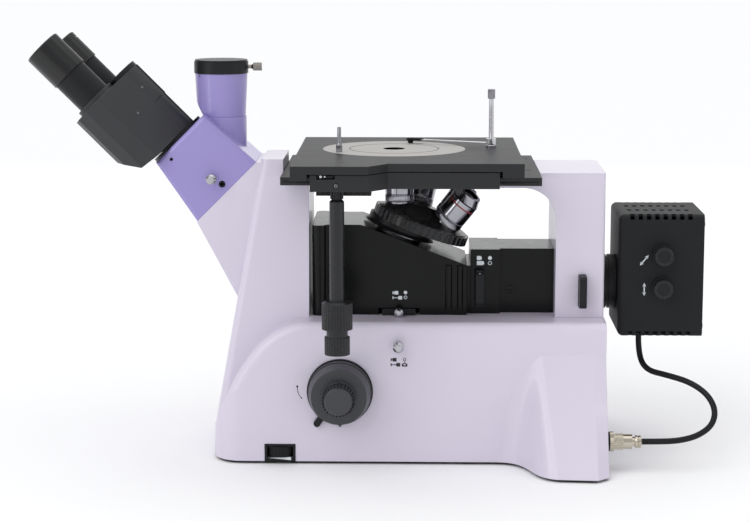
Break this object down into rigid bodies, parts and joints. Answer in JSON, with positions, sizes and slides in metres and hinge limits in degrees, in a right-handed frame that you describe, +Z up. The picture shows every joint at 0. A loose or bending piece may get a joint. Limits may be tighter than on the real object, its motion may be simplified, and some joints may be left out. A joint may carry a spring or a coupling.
{
  "type": "inverted microscope",
  "caption": "Inverted trinocular microscope: flared stand, coaxial focus knobs, tilted objective turret, mechanical stage with a drop handle, and a rear lamp house on a cable.",
  "frame": {"origin": "on the table, under the centre of the stand, head and lamp house taken together", "axes": "+X from the eyepieces to the lamp house, +Y away from the near side with the stage handle, +Z up"},
  "size_m": [0.7165, 0.3366, 0.4425],
  "materials": {
    "ivory_paint": "smooth pale lavender paint on a casting",
    "violet_paint": "smooth violet paint on a casting",
    "black_paint": "fine matt black paint on a casting",
    "black_metal": "black anodised",
    "black_plastic": "fine texture",
    "grey_metal": "fine blasted",
    "bright_metal": "polished",
    "satin_metal": "turned",
    "feet_rubber": "matt",
    "lens_glass": "coated",
    "board": "circuit board",
    "cable": "smooth jacket"
  },
  "bodies": {
    "stand": {"stand_casting": "ivory_paint", "base_plate": "black_paint", "rubber_feet": "feet_rubber", "power_supply": "board", "mirror_stand": "black_metal", "optics": "lens_glass", "rear_column": "ivory_paint", "reflector_housing": "black_paint", "reflector_cube": "black_metal", "illuminator_housing": "black_paint", "stage_base_plate": "black_paint", "head_block": "violet_paint", "photo_tube": "violet_paint", "photo_ring": "black_metal", "binocular_mount": "black_metal", "lamp_collar": "black_metal", "lamp_house": "black_paint", "lamp_house_cover": "black_paint", "halogen_lamp": "lens_glass", "dimmer_bezel": "black_plastic", "rear_sockets": "black_plastic", "lamp_plug": "bright_metal", "lamp_cable": "cable"},
    "carriage": {"focus_carriage": "black_metal", "nosepiece_base": "black_metal"},
    "nosepiece": {"turret": "black_metal", "turret_plug": "black_metal", "objective_5x": "satin_metal", "objective_10x": "satin_metal", "objective_20x": "satin_metal", "objective_50x": "satin_metal"},
    "coarse_drive": {"coarse_knobs": "black_plastic"},
    "fine_drive": {"fine_knobs": "black_plastic"},
    "clamp": {"clamp_lever": "black_metal"},
    "stage_cross": {"cross_slide": "black_metal"},
    "stage": {"stage_plate": "black_paint", "stage_apron": "black_paint", "clip_post": "bright_metal"},
    "stage_x_handle": {"x_drive": "black_plastic"},
    "stage_y_handle": {"y_drive": "black_plastic"},
    "insert": {"insert_ring": "grey_metal", "insert_centre": "grey_metal", "insert_pin": "bright_metal"},
    "clip": {"clip_arm": "bright_metal"},
    "analyzer": {"analyzer_tray": "black_plastic"},
    "camera_pull_rod": {"camera_rod": "bright_metal"},
    "head_pull_rod": {"head_rod": "bright_metal"},
    "polarizer": {"polarizer_slide": "black_plastic"},
    "filter": {"filter_slide": "black_plastic"},
    "dimmer": {"dimmer_wheel": "black_plastic"},
    "arm_near": {"binocular_arm_near": "black_paint"},
    "arm_far": {"binocular_arm_far": "black_paint"},
    "tube_near": {"diopter_near": "black_metal"},
    "tube_far": {"diopter_far": "black_metal"},
    "eye_near": {"eyepiece_near": "black_metal"},
    "eye_far": {"eyepiece_far": "black_metal"},
    "lamp_knob_top": {"lamp_knob_upper": "black_plastic"},
    "lamp_knob_low": {"lamp_knob_lower": "black_plastic"},
    "port_screw": {"photo_screw": "bright_metal"},
    "port_cap": {"dust_cap": "black_plastic"}
  },
  "joints": [
    {"name": "focus_slide", "type": "slide", "parent": "stand", "child": "carriage", "axis": [0, 0, 1], "range_m": [-0.003, 0.006]},
    {"name": "turret_turn", "type": "hinge", "parent": "carriage", "child": "nosepiece", "pos_m": [0.03456, 0, 0.1796], "axis": [0.3584, 0, 0.9336], "continuous": true},
    {"name": "coarse_turn", "type": "hinge", "parent": "stand", "child": "coarse_drive", "pos_m": [-0.02594, 0, 0.078], "axis": [0, -1, 0], "range_deg": [-30, 60]},
    {"name": "fine_turn", "type": "hinge", "parent": "stand", "child": "fine_drive", "pos_m": [-0.02594, 0, 0.078], "axis": [0, -1, 0], "continuous": true},
    {"name": "clamp_turn", "type": "hinge", "parent": "stand", "child": "clamp", "pos_m": [-0.02594, 0, 0.078], "axis": [0, -1, 0], "range_deg": [-20, 20]},
    {"name": "stage_y", "type": "slide", "parent": "stand", "child": "stage_cross", "axis": [0, 1, 0], "range_m": [-0.015, 0.015]},
    {"name": "stage_x", "type": "slide", "parent": "stage_cross", "child": "stage", "axis": [1, 0, 0], "range_m": [-0.009, 0.021]},
    {"name": "x_drive_turn", "type": "hinge", "parent": "stage", "child": "stage_x_handle", "pos_m": [-0.02644, -0.15, 0.2], "axis": [0, 0, 1], "range_deg": [-90, 205]},
    {"name": "y_drive_turn", "type": "hinge", "parent": "stage", "child": "stage_y_handle", "pos_m": [-0.02644, -0.15, 0.2], "axis": [0, 0, 1], "range_deg": [-145, 145]},
    {"name": "insert_turn", "type": "hinge", "parent": "stage", "child": "insert", "pos_m": [0.02856, 0, 0.317], "axis": [0, 0, 1], "range_deg": [-160, 160]},
    {"name": "clip_swing", "type": "hinge", "parent": "stage", "child": "clip", "pos_m": [0.13196, 0.015, 0.326], "axis": [0, 0, 1], "range_deg": [-75, 75]},
    {"name": "analyzer_pull", "type": "slide", "parent": "stand", "child": "analyzer", "axis": [0, -1, 0], "range_m": [0, 0.025]},
    {"name": "camera_pull", "type": "slide", "parent": "stand", "child": "camera_pull_rod", "axis": [0, -1, 0], "range_m": [0, 0.015]},
    {"name": "head_pull", "type": "slide", "parent": "stand", "child": "head_pull_rod", "axis": [0, -1, 0], "range_m": [0, 0.012]},
    {"name": "polarizer_pull", "type": "slide", "parent": "stand", "child": "polarizer", "axis": [0, -1, 0], "range_m": [0, 0.02]},
    {"name": "filter_pull", "type": "slide", "parent": "stand", "child": "filter", "axis": [0, -1, 0], "range_m": [0, 0.03]},
    {"name": "dimmer_turn", "type": "hinge", "parent": "stand", "child": "dimmer", "pos_m": [-0.08844, -0.0885, 0.0133], "axis": [0, 0, 1], "range_deg": [-135, 135]},
    {"name": "pupil_near", "type": "hinge", "parent": "stand", "child": "arm_near", "pos_m": [-0.20244, 0, 0.33], "axis": [-0.7071, 0, 0.7071], "range_deg": [-9, 9]},
    {"name": "pupil_far", "type": "hinge", "parent": "stand", "child": "arm_far", "pos_m": [-0.20244, 0, 0.33], "axis": [-0.7071, 0, 0.7071], "range_deg": [-9, 9]},
    {"name": "diopter_near", "type": "hinge", "parent": "arm_near", "child": "tube_near", "pos_m": [-0.29199, -0.03065, 0.38187], "axis": [-0.7071, 0, 0.7071], "range_deg": [-60, 60]},
    {"name": "diopter_far", "type": "hinge", "parent": "arm_far", "child": "tube_far", "pos_m": [-0.28962, 0.03327, 0.38424], "axis": [-0.7071, 0, 0.7071], "range_deg": [-60, 60]},
    {"name": "eyepiece_near_out", "type": "slide", "parent": "tube_near", "child": "eye_near", "axis": [-0.7071, 0, 0.7071], "range_m": [0, 0.028]},
    {"name": "eyepiece_far_out", "type": "slide", "parent": "tube_far", "child": "eye_far", "axis": [-0.7071, 0, 0.7071], "range_m": [0, 0.028]},
    {"name": "lamp_centre_side", "type": "hinge", "parent": "stand", "child": "lamp_knob_top", "pos_m": [0.30956, -0.06, 0.215], "axis": [0, -1, 0], "range_deg": [-150, 150]},
    {"name": "lamp_centre_height", "type": "hinge", "parent": "stand", "child": "lamp_knob_low", "pos_m": [0.30956, -0.06, 0.1804], "axis": [0, -1, 0], "range_deg": [-150, 150]},
    {"name": "port_screw_turn", "type": "hinge", "parent": "stand", "child": "port_screw", "pos_m": [-0.11644, 0, 0.4065], "axis": [1, 0, 0], "range_deg": [-360, 360]},
    {"name": "port_cap_lift", "type": "slide", "parent": "stand", "child": "port_cap", "axis": [0, 0, 1], "range_m": [0, 0.03]}
  ],
  "couplings": [
    {"joint": "coarse_turn", "follows": "focus_slide", "rad_per_m": 166.67},
    {"joint": "x_drive_turn", "follows": "stage_x", "rad_per_m": 166.67},
    {"joint": "y_drive_turn", "follows": "stage_y", "rad_per_m": 166.67},
    {"joint": "pupil_far", "follows": "pupil_near", "ratio": -1}
  ]
}
